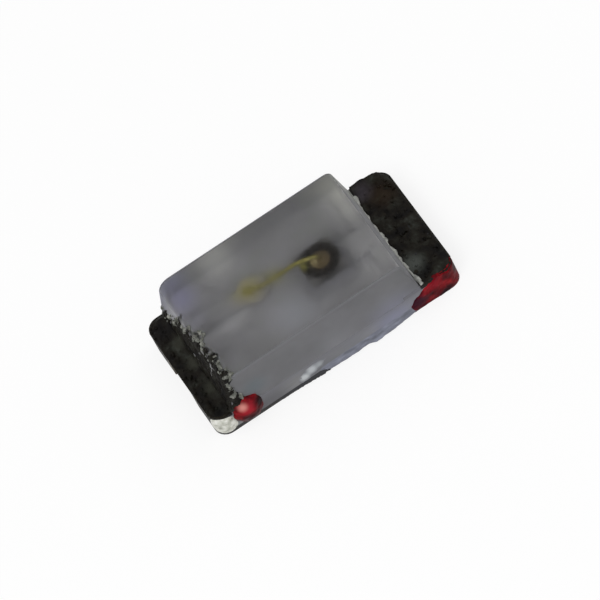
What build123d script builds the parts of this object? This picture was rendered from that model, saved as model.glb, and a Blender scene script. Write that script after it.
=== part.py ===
from build123d import *
import math
import os

# Surface-mount LED of the 1.6 x 0.8 mm size. All sizes are in millimetres.
# X runs along the package towards the end that carries the chip, Y across it,
# Z up, and the origin is the middle of the package, where a placer picks it up.

# Board and its metal
package_length = 1.60
package_width = 0.80
corner_radius = 0.08
core_thickness = 0.12
land_thickness = 0.03

# Plated half holes in the two ends
half_hole_radius = 0.15
barrel_wall = 0.02

# Solder lands on the underside, the resist film between them and its ink mark
bottom_land_length = 0.40
resist_thickness = 0.02
mark_thickness = 0.008
mark_arrow_length = 0.28
mark_arrow_width = 0.42
mark_bar_length = 0.06
mark_bar_width = 0.50
mark_overlap = 0.03

# Lands on top: an end strip that shows, and a pad under the lens
wire_end_exposed = 0.115
chip_end_exposed = 0.23
land_tuck = 0.12
finger_width = 0.11
bond_pad_diameter = 0.19
die_neck_width = 0.16
die_pad_side = 0.32
die_pad_corner = 0.04

# Chip
chip_side = 0.23
chip_x = 0.19
chip_y = -0.012
back_electrode_thickness = 0.005
chip_body_thickness = 0.10
light_layer_thickness = 0.010
mesa_step = 0.008
top_electrode_diameter = 0.11
top_electrode_thickness = 0.005

# Adhesive that holds the chip, spread past its foot and drawn up its sides
adhesive_thickness = 0.015
adhesive_spread = 0.032
adhesive_climb = 0.03
adhesive_lip = 0.006
adhesive_corner = 0.03

# Bond wire: a ball on the chip, a low loop and a flattened tail on the land
wire_diameter = 0.025
ball_diameter = 0.075
ball_foot_diameter = 0.056
ball_height = 0.0175
ball_shoulder_diameter = 0.046
loop_rise = 0.055
loop_radius = 0.03
crown_run = 0.12
crown_drop = 0.008
crown_radius = 0.12
heel_run = 0.07
heel_rise = 0.014
heel_radius = 0.07
bond_x = -0.20
bond_y = 0.12
tail_length = 0.045
tail_width = 0.056
tail_thickness = 0.008
foot_margin = 0.012

# Lens, moulded over the chip and sawn flush with the board's long sides
resin_cover = 0.05
wire_end_draft = 12
chip_end_draft = 11
wire_end_rounding = 0.08
chip_end_rounding = 0.04

# Heights that follow from the sizes above
board_thickness = 2 * land_thickness + core_thickness
chip_base = adhesive_thickness + back_electrode_thickness
chip_height = chip_base + chip_body_thickness + light_layer_thickness + top_electrode_thickness
lens_height = chip_height + ball_height + loop_rise + wire_diameter / 2 + resin_cover
package_height = board_thickness + lens_height

# Levels, from the underside up
underside = -package_height / 2
core_bottom = underside + land_thickness
core_top = core_bottom + core_thickness
land_top = core_top + land_thickness
chip_bottom = land_top + adhesive_thickness
body_bottom = chip_bottom + back_electrode_thickness
light_bottom = body_bottom + chip_body_thickness
electrode_bottom = light_bottom + light_layer_thickness
electrode_top = electrode_bottom + top_electrode_thickness
ball_top = electrode_top + ball_height
loop_axis = ball_top + loop_rise
lens_top = land_top + lens_height

# Places along the package
board_end = package_length / 2
wire_end_foot = -board_end + wire_end_exposed
chip_end_foot = board_end - chip_end_exposed
anode_strip_inner = wire_end_foot + land_tuck
cathode_strip_inner = chip_end_foot - land_tuck

os.makedirs("parts", exist_ok=True)


def save(name, label):
    name.part.label = label
    export_step(name.part, f"parts/{label}.step")


# Glass and resin laminate with a half hole in each end
with BuildPart() as laminate_core:
    with BuildSketch(Plane.XY.offset(core_bottom)):
        RectangleRounded(package_length, package_width, corner_radius)
        with Locations((-board_end, 0), (board_end, 0)):
            Circle(half_hole_radius, mode=Mode.SUBTRACT)
    extrude(amount=core_thickness)
save(laminate_core, "laminate_core")


# At each end a solder land below, and a plated barrel from it up to the top land
for end_name, side in (("anode", -1), ("cathode", 1)):
    with BuildPart() as bottom_land:
        with BuildSketch(Plane.XY.offset(underside)):
            with Locations((side * (board_end - bottom_land_length / 2), 0)):
                Rectangle(bottom_land_length, package_width)
            with Locations((side * board_end, 0)):
                Circle(half_hole_radius, mode=Mode.SUBTRACT)
            RectangleRounded(package_length, package_width, corner_radius, mode=Mode.INTERSECT)
        extrude(amount=land_thickness)
    save(bottom_land, f"{end_name}_bottom_land")

    with BuildPart() as end_plating:
        with BuildSketch(Plane.XY.offset(underside)):
            with Locations((side * board_end, 0)):
                Circle(half_hole_radius)
                Circle(half_hole_radius - barrel_wall, mode=Mode.SUBTRACT)
            Rectangle(package_length, package_width, mode=Mode.INTERSECT)
        extrude(amount=land_thickness + core_thickness)
    save(end_plating, f"{end_name}_end_plating")


# Anode land: end strip, finger and round pad for the wire
with BuildPart() as anode_top_land:
    with BuildSketch(Plane.XY.offset(core_top)):
        strip_length = anode_strip_inner + board_end
        with Locations((-board_end + strip_length / 2, 0)):
            Rectangle(strip_length, package_width)
        finger_length = bond_x - anode_strip_inner
        with Locations((anode_strip_inner + finger_length / 2, bond_y)):
            Rectangle(finger_length, finger_width)
        with Locations((bond_x, bond_y)):
            Circle(bond_pad_diameter / 2)
        RectangleRounded(package_length, package_width, corner_radius, mode=Mode.INTERSECT)
    extrude(amount=land_thickness)
save(anode_top_land, "anode_top_land")


# Cathode land: end strip, neck and square pad for the chip
with BuildPart() as cathode_top_land:
    with BuildSketch(Plane.XY.offset(core_top)):
        strip_length = board_end - cathode_strip_inner
        with Locations((board_end - strip_length / 2, 0)):
            Rectangle(strip_length, package_width)
        neck_length = cathode_strip_inner - chip_x
        with Locations((chip_x + neck_length / 2, chip_y)):
            Rectangle(neck_length, die_neck_width)
        with Locations((chip_x, chip_y)):
            RectangleRounded(die_pad_side, die_pad_side, die_pad_corner)
        RectangleRounded(package_length, package_width, corner_radius, mode=Mode.INTERSECT)
    extrude(amount=land_thickness)
save(cathode_top_land, "cathode_top_land")


# Conductive adhesive: a low mound with the chip pressed into it
with BuildPart() as die_attach_adhesive:
    with BuildSketch(Plane.XY.offset(land_top)):
        with Locations((chip_x, chip_y)):
            mound_foot = chip_side + 2 * adhesive_spread
            RectangleRounded(mound_foot, mound_foot, adhesive_corner)
    with BuildSketch(Plane.XY.offset(chip_bottom + adhesive_climb)):
        with Locations((chip_x, chip_y)):
            mound_rim = chip_side + 2 * adhesive_lip
            RectangleRounded(mound_rim, mound_rim, adhesive_lip)
    loft()
    with BuildSketch(Plane.XY.offset(chip_bottom)):
        with Locations((chip_x, chip_y)):
            Rectangle(chip_side, chip_side)
    extrude(amount=adhesive_climb, mode=Mode.SUBTRACT)
save(die_attach_adhesive, "die_attach_adhesive")


# Chip, from its metallised back up to its round bond pad
with BuildPart() as chip_back_electrode:
    with BuildSketch(Plane.XY.offset(chip_bottom)):
        with Locations((chip_x, chip_y)):
            Rectangle(chip_side, chip_side)
    extrude(amount=back_electrode_thickness)
save(chip_back_electrode, "chip_back_electrode")

with BuildPart() as chip_body:
    with BuildSketch(Plane.XY.offset(body_bottom)):
        with Locations((chip_x, chip_y)):
            Rectangle(chip_side, chip_side)
    extrude(amount=chip_body_thickness)
save(chip_body, "chip_body")

with BuildPart() as chip_light_layer:
    with BuildSketch(Plane.XY.offset(light_bottom)):
        with Locations((chip_x, chip_y)):
            Rectangle(chip_side - 2 * mesa_step, chip_side - 2 * mesa_step)
    extrude(amount=light_layer_thickness)
save(chip_light_layer, "chip_light_layer")

with BuildPart() as chip_top_electrode:
    with BuildSketch(Plane.XY.offset(electrode_bottom)):
        with Locations((chip_x, chip_y)):
            Circle(top_electrode_diameter / 2)
    extrude(amount=top_electrode_thickness)
save(chip_top_electrode, "chip_top_electrode")


# Gold bond wire, in the upright plane through its two bonds
wire_radius = wire_diameter / 2
span = math.hypot(bond_x - chip_x, bond_y - chip_y)
wire_heading = Vector((bond_x - chip_x) / span, (bond_y - chip_y) / span, 0)
wire_plane = Plane(
    origin=(chip_x, chip_y, 0),
    x_dir=wire_heading,
    z_dir=wire_heading.cross(Vector(0, 0, 1)),
)
tail_axis = land_top + tail_thickness + wire_radius / 2
with BuildPart() as bond_wire:
    with BuildLine(wire_plane) as wire_path:
        FilletPolyline(
            (0, electrode_top + ball_height / 2),
            (0, loop_axis),
            (crown_run, loop_axis - crown_drop),
            (span - heel_run, tail_axis + heel_rise),
            (span, tail_axis),
            radius=[loop_radius, crown_radius, heel_radius],
        )
    wire_axis = wire_path.wires()[0]
    with BuildSketch(Plane(origin=wire_axis @ 0, z_dir=wire_axis % 0)):
        Circle(wire_radius)
    sweep(path=wire_axis)
    # Ball, pressed flat on the chip's pad
    with BuildSketch(wire_plane):
        with BuildLine():
            Polyline(
                (0, electrode_top + ball_height),
                (0, electrode_top),
                (ball_foot_diameter / 2, electrode_top),
            )
            ThreePointArc(
                (ball_foot_diameter / 2, electrode_top),
                (ball_diameter / 2, electrode_top + ball_height / 2),
                (ball_shoulder_diameter / 2, electrode_top + ball_height),
            )
            Line((ball_shoulder_diameter / 2, ball_top), (0, ball_top))
        make_face()
    revolve(axis=Axis((chip_x, chip_y, 0), (0, 0, 1)))
    # Tail, pressed from the round wire to a thin fish tail
    with BuildSketch(Plane(origin=wire_axis @ 1, z_dir=wire_axis % 1)):
        Circle(wire_radius)
    tail_end = Plane(
        origin=wire_plane.from_local_coords((span + tail_length, land_top + tail_thickness / 2)),
        x_dir=wire_heading.cross(Vector(0, 0, 1)),
        z_dir=wire_heading,
    )
    with BuildSketch(tail_end):
        Ellipse(tail_width / 2, tail_thickness / 2)
    loft()
    # Foot of the bond, spread on the land under the tail
    foot_plane = Plane(
        origin=wire_plane.from_local_coords((span + tail_length / 2, land_top)),
        x_dir=wire_heading,
        z_dir=(0, 0, 1),
    )
    with BuildSketch(foot_plane):
        Ellipse(tail_length / 2 + foot_margin, tail_width / 2)
    extrude(amount=tail_thickness / 2)
save(bond_wire, "bond_wire")


# Lens: sloped ends, rounded top edges, and resin down between the lands
with BuildPart() as lens:
    with BuildSketch(Plane.XZ) as lens_profile:
        with BuildLine():
            wire_end_slope = math.tan(math.radians(wire_end_draft))
            chip_end_slope = math.tan(math.radians(chip_end_draft))
            Polyline(
                (wire_end_foot - land_thickness * wire_end_slope, core_top),
                (chip_end_foot + land_thickness * chip_end_slope, core_top),
                (chip_end_foot - lens_height * chip_end_slope, lens_top),
                (wire_end_foot + lens_height * wire_end_slope, lens_top),
                close=True,
            )
        make_face()
        for end, rounding in ((0, wire_end_rounding), (-1, chip_end_rounding)):
            top_corners = lens_profile.vertices().group_by(Axis.Y)[-1].sort_by(Axis.X)
            fillet(top_corners[end], rounding)
    extrude(amount=package_width / 2, both=True)
    for inner in (
        anode_top_land,
        cathode_top_land,
        die_attach_adhesive,
        chip_back_electrode,
        chip_body,
        chip_light_layer,
        chip_top_electrode,
        bond_wire,
    ):
        add(inner.part, mode=Mode.SUBTRACT)
save(lens, "lens")


# Solder resist between the solder lands, out to the sawn sides
resist_bottom = core_bottom - resist_thickness
with BuildPart() as solder_resist:
    with BuildSketch(Plane.XY.offset(resist_bottom)):
        resist_length = package_length - 2 * bottom_land_length
        Rectangle(resist_length, package_width)
    extrude(amount=resist_thickness)
save(solder_resist, "solder_resist")


# Polarity mark on the resist: an arrow and bar that point at the cathode
with BuildPart() as polarity_mark:
    with BuildSketch(Plane.XY.offset(resist_bottom - mark_thickness)):
        arrow_tip = mark_arrow_length / 2
        with BuildLine():
            Polyline(
                (arrow_tip, 0),
                (arrow_tip - mark_arrow_length, mark_arrow_width / 2),
                (arrow_tip - mark_arrow_length, -mark_arrow_width / 2),
                close=True,
            )
        make_face()
        with Locations((arrow_tip - mark_overlap + mark_bar_length / 2, 0)):
            Rectangle(mark_bar_length, mark_bar_width)
    extrude(amount=mark_thickness)
save(polarity_mark, "polarity_mark")
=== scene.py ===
import bmesh
import bpy
import math
from mathutils import Matrix, Vector, noise


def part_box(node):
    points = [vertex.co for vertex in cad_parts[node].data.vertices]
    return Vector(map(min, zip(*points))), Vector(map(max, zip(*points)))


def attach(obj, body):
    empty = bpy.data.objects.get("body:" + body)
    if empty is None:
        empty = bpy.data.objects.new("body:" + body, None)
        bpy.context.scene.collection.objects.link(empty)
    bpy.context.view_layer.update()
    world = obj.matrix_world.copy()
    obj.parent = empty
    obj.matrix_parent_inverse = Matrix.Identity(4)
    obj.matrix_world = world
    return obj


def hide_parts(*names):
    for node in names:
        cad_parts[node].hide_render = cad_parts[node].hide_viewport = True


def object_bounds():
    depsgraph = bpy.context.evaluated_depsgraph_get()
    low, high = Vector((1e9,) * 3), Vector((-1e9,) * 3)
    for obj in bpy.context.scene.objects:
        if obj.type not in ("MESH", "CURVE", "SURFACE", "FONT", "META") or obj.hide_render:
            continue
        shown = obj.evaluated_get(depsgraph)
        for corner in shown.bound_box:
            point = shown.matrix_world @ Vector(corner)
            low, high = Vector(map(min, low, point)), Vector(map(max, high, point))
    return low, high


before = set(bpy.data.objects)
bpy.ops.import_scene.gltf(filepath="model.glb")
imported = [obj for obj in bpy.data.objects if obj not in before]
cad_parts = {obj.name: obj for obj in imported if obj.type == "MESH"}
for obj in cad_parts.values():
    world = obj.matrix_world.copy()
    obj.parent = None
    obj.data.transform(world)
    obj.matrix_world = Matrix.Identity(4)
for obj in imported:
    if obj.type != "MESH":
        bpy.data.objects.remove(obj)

mm = 0.001
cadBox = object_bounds()
print("frame loaded:", len(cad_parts), "CAD pieces")

# Levels and places that every piece below is set out from
floorZ = cadBox[0].z
boardEnd = cadBox[1].x
boardSide = cadBox[1].y
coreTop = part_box("laminate_core")[1].z
landLow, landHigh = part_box("anode_top_land")
lensLow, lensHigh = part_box("lens")
chipLow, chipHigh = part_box("chip_body")
landTop = landHigh.z
boardCorner = 0.08 * mm  # rounding of the board's corners, seen from above


# Small tools: a colour, a node, a material, a node tree that makes a mesh

def hexColor(code):
    channels = [int(code[i:i + 2], 16) / 255 for i in (0, 2, 4)]
    linear = [c / 12.92 if c <= 0.04045 else ((c + 0.055) / 1.055) ** 2.4 for c in channels]
    return (*linear, 1.0)


def addNode(tree, kind, settings=None, links=None, stops=None):
    node = tree.nodes.new(kind)
    for name, value in (settings or {}).items():
        if not isinstance(name, int) and hasattr(node, name):
            setattr(node, name, value)
    for name, value in (settings or {}).items():
        if isinstance(name, int) or not hasattr(node, name):
            node.inputs[name].default_value = value
    for name, source in (links or {}).items():
        tree.links.new(source, node.inputs[name])
    if stops:
        ramp = node.color_ramp
        while len(ramp.elements) < len(stops):
            ramp.elements.new(0.5)
        for element, (position, color) in zip(ramp.elements, stops):
            element.position = position
            element.color = hexColor(color)
    return node


def startMaterial(name):
    material = bpy.data.materials.new(name)
    material.use_nodes = True
    material.node_tree.nodes.clear()
    coords = addNode(material.node_tree, "ShaderNodeTexCoord")
    return material, material.node_tree, coords.outputs["Object"]


def grain(tree, coords, size, detail=3, stretch=(1, 1, 1), shift=0):
    # Noise whose patches are about size millimetres across
    mapping = addNode(tree, "ShaderNodeMapping",
                      {"Scale": [s / (size * mm) for s in stretch], "Location": (shift, shift, shift)},
                      {"Vector": coords})
    return addNode(tree, "ShaderNodeTexNoise",
                   {"Scale": 1.0, "Detail": detail, "Roughness": 0.55},
                   {"Vector": mapping.outputs["Vector"]}).outputs["Fac"]


def layColors(tree, coords, color, spots):
    # Soft round areas of other colours over a colour; places and radii in millimetres
    for place, radius, code, most in spots:
        away = addNode(tree, "ShaderNodeVectorMath", {"operation": "DISTANCE", 1: Vector(place) * mm},
                       {0: coords})
        share = addNode(tree, "ShaderNodeMapRange", {
            "interpolation_type": "SMOOTHERSTEP", "From Min": 0.0, "From Max": radius * mm,
            "To Min": most, "To Max": 0.0}, {"Value": away.outputs["Value"]})
        color = addNode(tree, "ShaderNodeMix", {"data_type": "RGBA", 7: hexColor(code)},
                        {0: share.outputs["Result"], 6: color}).outputs[2]
    return color


def mottle(tree, coords, pattern, colors):
    # A grain coloured by its strength; gives the colour and the grain
    strength = grain(tree, coords, **pattern)
    ramp = addNode(tree, "ShaderNodeValToRGB", links={"Fac": strength}, stops=colors)
    return ramp.outputs["Color"], strength


def makeSurface(tree, settings, color, relief, depth, links=None):
    # The shader, with relief that is depth millimetres deep
    skin = addNode(tree, "ShaderNodeBump", {"Distance": depth * mm}, {"Height": relief})
    return addNode(tree, "ShaderNodeBsdfPrincipled", settings, {
        "Base Color": color, "Normal": skin.outputs["Normal"], **(links or {})}).outputs[0]


def wear(nodeName, material):
    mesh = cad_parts[nodeName].data
    mesh.materials.clear()
    mesh.materials.append(material)


def addPiece(name, mesh, material):
    # A finished, smooth-shaded piece on the body
    for face in mesh.polygons:
        face.use_smooth = True
    piece = bpy.data.objects.new(name, mesh)
    bpy.context.scene.collection.objects.link(piece)
    mesh.materials.clear()
    mesh.materials.append(material)
    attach(piece, "root")
    return piece


def startTree(name, inputs):
    tree = bpy.data.node_groups.new(name, "GeometryNodeTree")
    tree.interface.new_socket("Geometry", in_out="INPUT", socket_type="NodeSocketGeometry")
    for label, kind in inputs.items():
        tree.interface.new_socket(label, in_out="INPUT", socket_type="NodeSocket" + kind)
    tree.interface.new_socket("Geometry", in_out="OUTPUT", socket_type="NodeSocketGeometry")
    return tree, addNode(tree, "NodeGroupInput").outputs


def runTree(tree, values, points):
    # The tree's mesh, made from a line of points
    line = bpy.data.meshes.new(tree.name + "Line")
    line.from_pydata(points, [(i, i + 1) for i in range(len(points) - 1)], [])
    holder = bpy.data.objects.new(tree.name + "Holder", line)
    bpy.context.scene.collection.objects.link(holder)
    modifier = holder.modifiers.new(tree.name, "NODES")
    modifier.node_group = tree
    for socket in tree.interface.items_tree:
        if socket.in_out == "INPUT" and socket.name in values:
            modifier[socket.identifier] = values[socket.name]
    evaluated = holder.evaluated_get(bpy.context.evaluated_depsgraph_get())
    made = bpy.data.meshes.new_from_object(evaluated)
    holder.modifiers.remove(modifier)
    bpy.data.objects.remove(holder)
    return made


# Camera: high over the near side and rolled, as in the photograph
cameraView = {
    "lookAt": (-0.0120, -0.0225, -0.0613),  # mm
    "frameWidth": 3.310,  # mm across the picture
    "azimuth": -6.64,
    "elevation": 55.56,
    "roll": -28.0,
    "lens": 400,  # mm, a long lens
    "sensor": 36,
}


def makeCamera(view):
    azimuth = math.radians(view["azimuth"])
    elevation = math.radians(view["elevation"])
    roll = math.radians(view["roll"])
    back = Vector((math.sin(azimuth) * math.cos(elevation),
                   -math.cos(azimuth) * math.cos(elevation), math.sin(elevation)))
    levelRight = Vector((math.cos(azimuth), math.sin(azimuth), 0))
    levelUp = back.cross(levelRight)
    right = levelRight * math.cos(roll) + levelUp * math.sin(roll)
    up = back.cross(right)
    distance = view["frameWidth"] * mm * view["lens"] / view["sensor"]
    data = bpy.data.cameras.new("photoCamera")
    data.lens = view["lens"]
    data.sensor_width = view["sensor"]
    data.clip_start = distance * 0.1
    data.clip_end = distance * 100
    camera = bpy.data.objects.new("photoCamera", data)
    camera.matrix_world = Matrix.Translation(Vector(view["lookAt"]) * mm + back * distance) @ \
        Matrix((right, up, back)).transposed().to_4x4()
    bpy.context.scene.collection.objects.link(camera)
    bpy.context.scene.camera = camera


makeCamera(cameraView)


# Studio: white floor, even pale sky, two soft lamps
studio = {
    "floorSide": 400,  # mm
    "floorGap": 0.001,  # mm below the solder lands, so that no faces coincide
    "sky": "ffffff",
    "skyStrength": 0.55,
    "keyPlace": (-14, -16, 30),  # mm
    "keySize": 18,
    "keyPower": 0.0045,
    "fillPlace": (22, 6, 20),
    "fillSize": 16,
    "fillPower": 0.001,
    "paper": "f6f6f6",
    "paperWhite": 1.05,  # as the eye sees it
    "floorShade": 0.25,  # share of the floor that lamps and shadows act on
}


def whiteToTheEye(tree):
    # 1 for rays from the camera, off gloss or through the resin
    path = addNode(tree, "ShaderNodeLightPath")
    first = addNode(tree, "ShaderNodeMath", {"operation": "MAXIMUM"},
                    {0: path.outputs["Is Camera Ray"], 1: path.outputs["Is Glossy Ray"]})
    return addNode(tree, "ShaderNodeMath", {"operation": "MAXIMUM"},
                   {0: first.outputs[0], 1: path.outputs["Is Transmission Ray"]}).outputs[0]


def makeStudio(s):
    material, tree, coords = startMaterial("paperFloor")
    lit = addNode(tree, "ShaderNodeBsdfDiffuse", {"Color": hexColor(s["paper"])})
    white = addNode(tree, "ShaderNodeEmission", {"Color": (1, 1, 1, 1), "Strength": s["paperWhite"]})
    share = addNode(tree, "ShaderNodeMath", {"operation": "MULTIPLY", 1: 1 - s["floorShade"]},
                    {0: whiteToTheEye(tree)})
    both = addNode(tree, "ShaderNodeMixShader", links={
        0: share.outputs[0], 1: lit.outputs[0], 2: white.outputs[0]})
    clear = addNode(tree, "ShaderNodeBsdfTransparent")
    side = addNode(tree, "ShaderNodeNewGeometry")
    fromBelow = addNode(tree, "ShaderNodeMixShader", links={
        0: side.outputs["Backfacing"], 1: both.outputs[0], 2: clear.outputs[0]})  # shows the underside
    addNode(tree, "ShaderNodeOutputMaterial", links={"Surface": fromBelow.outputs[0]})
    mesh = bpy.data.meshes.new("floor")
    half = s["floorSide"] * mm / 2
    level = floorZ - s["floorGap"] * mm
    mesh.from_pydata([(-half, -half, level), (half, -half, level), (half, half, level),
                      (-half, half, level)], [], [(0, 1, 2, 3)])
    mesh.materials.append(material)
    floor = bpy.data.objects.new("floor", mesh)
    bpy.context.scene.collection.objects.link(floor)

    world = bpy.data.worlds.new("studioSky")
    bpy.context.scene.world = world
    world.use_nodes = True
    tree = world.node_tree
    tree.nodes.clear()
    sky = addNode(tree, "ShaderNodeBackground",
                  {"Color": hexColor(s["sky"]), "Strength": s["skyStrength"]})
    white = addNode(tree, "ShaderNodeBackground", {"Color": (1, 1, 1, 1), "Strength": 1.0})
    both = addNode(tree, "ShaderNodeMixShader",
                   links={0: whiteToTheEye(tree), 1: sky.outputs[0], 2: white.outputs[0]})
    addNode(tree, "ShaderNodeOutputWorld", links={"Surface": both.outputs[0]})

    for name in ("key", "fill"):
        data = bpy.data.lights.new(name + "Lamp", "AREA")
        data.size = s[name + "Size"] * mm
        data.energy = s[name + "Power"]
        lamp = bpy.data.objects.new(name + "Lamp", data)
        lamp.location = Vector(s[name + "Place"]) * mm
        lamp.rotation_euler = (-lamp.location).to_track_quat("-Z", "Y").to_euler()
        bpy.context.scene.collection.objects.link(lamp)
    bpy.context.scene.view_settings.view_transform = "Standard"


makeStudio(studio)
print("camera and studio ready")


# Finishes. What each one is, and what that gives the eye, stands above its dictionary. Sizes and
# depths are in millimetres; a spot is its place, its radius, its colour and its most share.

def makeFinish(name, s):
    # A colour pattern, spots over it, fine relief, and the shader's own values
    material, tree, coords = startMaterial(name)
    color, pattern = mottle(tree, coords, s["pattern"], s["colors"])
    color = layColors(tree, coords, color, s.get("spots", []))
    relief = grain(tree, coords, **s["relief"]) if "relief" in s else pattern
    shader = makeSurface(tree, s["shader"], color, relief, s["depth"])
    addNode(tree, "ShaderNodeOutputMaterial", links={"Surface": shader})
    return material


def turnedTo(tree, axis):
    # 1 on faces that look along an axis, either way, and 0 on faces beside it
    geometry = addNode(tree, "ShaderNodeNewGeometry")
    parts = addNode(tree, "ShaderNodeSeparateXYZ", links={"Vector": geometry.outputs["Normal"]})
    return addNode(tree, "ShaderNodeMath", {"operation": "ABSOLUTE"}, {0: parts.outputs[axis]}).outputs[0]


rimBand = {"inner": 0.012, "outer": 0.002}  # mm from the board's edge


def atRim(tree, coords, axis, edge):
    # 1 on the board's outermost band along an axis, at both sides, and 0 further in
    axes = addNode(tree, "ShaderNodeSeparateXYZ", links={"Vector": coords})
    out = addNode(tree, "ShaderNodeMath", {"operation": "ABSOLUTE"}, {0: axes.outputs[axis]})
    return addNode(tree, "ShaderNodeMapRange", {
        "From Min": edge - rimBand["inner"] * mm, "From Max": edge - rimBand["outer"] * mm},
        {"Value": out.outputs[0]}).outputs["Result"]


# Moulded epoxy with a diffusant: smoky grey, and it blurs what lies deep in it
milkyEpoxy = {
    "pattern": {"size": 0.22, "detail": 2},
    "colors": [(0.30, "c0c2be"), (0.50, "c4c3c5"), (0.70, "cecece")],
    "spots": [
        ((-0.28, 0.34, 0.22), 0.17, "f6f6f4", 0.85),  # pale clouds at the far side
        ((0.47, 0.28, 0.22), 0.15, "f2f2ec", 0.85),
        ((-0.56, 0.24, 0.22), 0.16, "9c9ab0", 0.8),  # violet tinge at the far corner
        ((-0.10, -0.27, 0.22), 0.20, "ccd0d4", 0.7),
        # bluish, painted reflection on the near right
        ((0.30, -0.40, 0.00), 0.22, "bcc0d6", 0.7)],
    "relief": {"size": 0.05, "detail": 4}, "depth": 0.0012,
    "roughness": 0.33,
    "clearness": 0.99,
    "mirrorTint": "707070",  # the real surroundings aren't white all round
    "shadow": "f2f2f2",
}

# The same epoxy where saw and mould left it rough: frosted, so little inside shows, faint saw lines
frostedEpoxy = {
    "pattern": {"size": 0.16, "detail": 2},
    "colors": [(0.30, "848587"), (0.50, "8a8a8d"), (0.70, "909094")],
    "spots": [
        ((-0.50, -0.40, 0.04), 0.12, "7c8a90", 0.6),
        ((-0.32, -0.40, -0.12), 0.20, "929396", 0.8),  # runs on from the board's side
        ((0.02, -0.40, -0.10), 0.24, "a2a3a8", 0.8),
        # bluish, painted reflection on the near right
        ((0.38, -0.40, -0.12), 0.26, "a0a2b2", 0.85),
        ((-0.28, 0.40, 0.10), 0.26, "d4d4d0", 0.85),  # pale clouds at the far side
        ((0.47, 0.40, 0.10), 0.26, "ccccc4", 0.8),
        ((-0.56, 0.40, 0.10), 0.18, "b8bad8", 0.75),
        ((-0.66, 0.20, 0.06), 0.26, "dcdce0", 0.95),  # painted light: the wire end is paler, where the crust shades it
        ((-0.66, -0.16, 0.06), 0.26, "dcdcdc", 0.95)],
    "upward": "88888c",  # painted light by facing: faces that look up get this tone, so the rounded long edges match the top beside them
    "relief": {"size": 0.012, "detail": 3, "stretch": (0.08, 1, 1)},  # 0.003 really, too fine to show
    "depth": 0.0008,
    "roughness": 0.9,
    "clearness": 0.5,
    "mirrorTint": "8c8c8c",
    "shadow": "d4d4d4",
}


def makeResin(name, s):
    # Epoxy that shows what stands in it and lets the lamps' light reach it
    material, tree, coords = startMaterial(name)
    clouds = mottle(tree, coords, s["pattern"], s["colors"])[0]
    color = layColors(tree, coords, clouds, s["spots"])
    # Faces that look up take the upward tone: painted light, set by how a face is turned
    if "upward" in s:
        color = addNode(tree, "ShaderNodeMix", {"data_type": "RGBA", 7: hexColor(s["upward"])},
                        {0: turnedTo(tree, "Z"), 6: color}).outputs[2]
    shader = makeSurface(tree, {
        "Roughness": s["roughness"], "IOR": 1.54, "Transmission Weight": s["clearness"],
        "Specular IOR Level": 0.12, "Specular Tint": hexColor(s["mirrorTint"]),
    }, color, grain(tree, coords, **s["relief"]), s["depth"])
    letThrough = addNode(tree, "ShaderNodeBsdfTransparent", {"Color": hexColor(s["shadow"])})
    path = addNode(tree, "ShaderNodeLightPath")
    both = addNode(tree, "ShaderNodeMixShader", links={
        0: path.outputs["Is Shadow Ray"], 1: shader, 2: letThrough.outputs[0]})
    addNode(tree, "ShaderNodeOutputMaterial", links={"Surface": both.outputs[0]})
    return material


# Flash of the same epoxy, broken by the mould: pale, rough, lit at its edges
flashFinish = {
    "pattern": {"size": 0.03},
    "relief": {"size": 0.008}, "depth": 0.002,
    "shader": {"Roughness": 0.4, "IOR": 1.54, "Specular IOR Level": 0.4},
}
brokenFlashColors = [(0.30, "36382f"), (0.50, "5e6058"), (0.72, "9a9b92")]  # dirty, at the wire end
thinFlashColors = [(0.30, "787974"), (0.50, "9a9b96"), (0.72, "bcbcb6")]  # cleaner, at the chip end

# Glass and resin laminate cut by a saw: grey, faint fibre bundles along it, paler where they are bare
sawnLaminate = {
    "pattern": {"size": 0.022, "detail": 4, "stretch": (0.16, 0.16, 1)},  # two or three glass fibres
    "colors": [(0.28, "7e7e7f"), (0.50, "868687"), (0.72, "8f8f92")],
    # On the board's top under the resin: mostly painted light, paler where the crusts and the anode finger
    # shade it
    "topSpots": [
        ((-0.60, -0.24, -0.075), 0.24, "bcbcbf", 1.0),  # painted light towards the ends, where the crusts shade the board
        ((-0.64, 0.36, -0.075), 0.25, "d0d0e4", 1.0),
        ((-0.58, 0.03, -0.075), 0.20, "b4b4b6", 1.0),
        # painted light along the anode finger's near edge, where it shades the board
        ((-0.42, 0.03, -0.075), 0.12, "b0b0b2", 0.8),
        ((-0.32, 0.05, -0.075), 0.10, "a4a4a4", 0.7),
        ((-0.28, 0.40, -0.075), 0.20, "c0c0bc", 0.4),
        ((-0.08, -0.14, -0.075), 0.28, "9a9a9e", 0.9),
        ((-0.05, 0.125, -0.075), 0.10, "8c8a5c", 0.7),  # olive shine under the wire
        ((-0.12, 0.14, -0.075), 0.10, "8c8a5c", 0.6),
        ((0.54, 0.30, -0.075), 0.26, "b0b0ac", 1.0),
        ((0.50, -0.20, -0.075), 0.30, "a4a4a4", 1.0)],
    "wallSpots": [  # along the near side
        ((-0.685, -0.40, -0.13), 0.06, "2a2622", 0.95),
        ((-0.46, -0.40, -0.17), 0.24, "646468", 0.9),
        ((-0.10, -0.40, -0.17), 0.24, "74757a", 0.8),
        ((0.10, -0.40, -0.14), 0.16, "7c7d84", 0.7),
        # bluish, painted reflection on the near right
        ((0.36, -0.40, -0.14), 0.24, "888aa0", 0.75),
        ((0.55, -0.40, -0.05), 0.14, "84868e", 0.6)],
    "wallTop": "74747a",  # so that the wall runs into the resin's side without a step
    "wallTopDepth": 0.07,
    "wallTopShare": 0.75,
    "ends": "191713",  # as black as the crust
    "depth": 0.002,
    "shader": {"Roughness": 0.62, "IOR": 1.55, "Specular IOR Level": 0.2},
}


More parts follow.
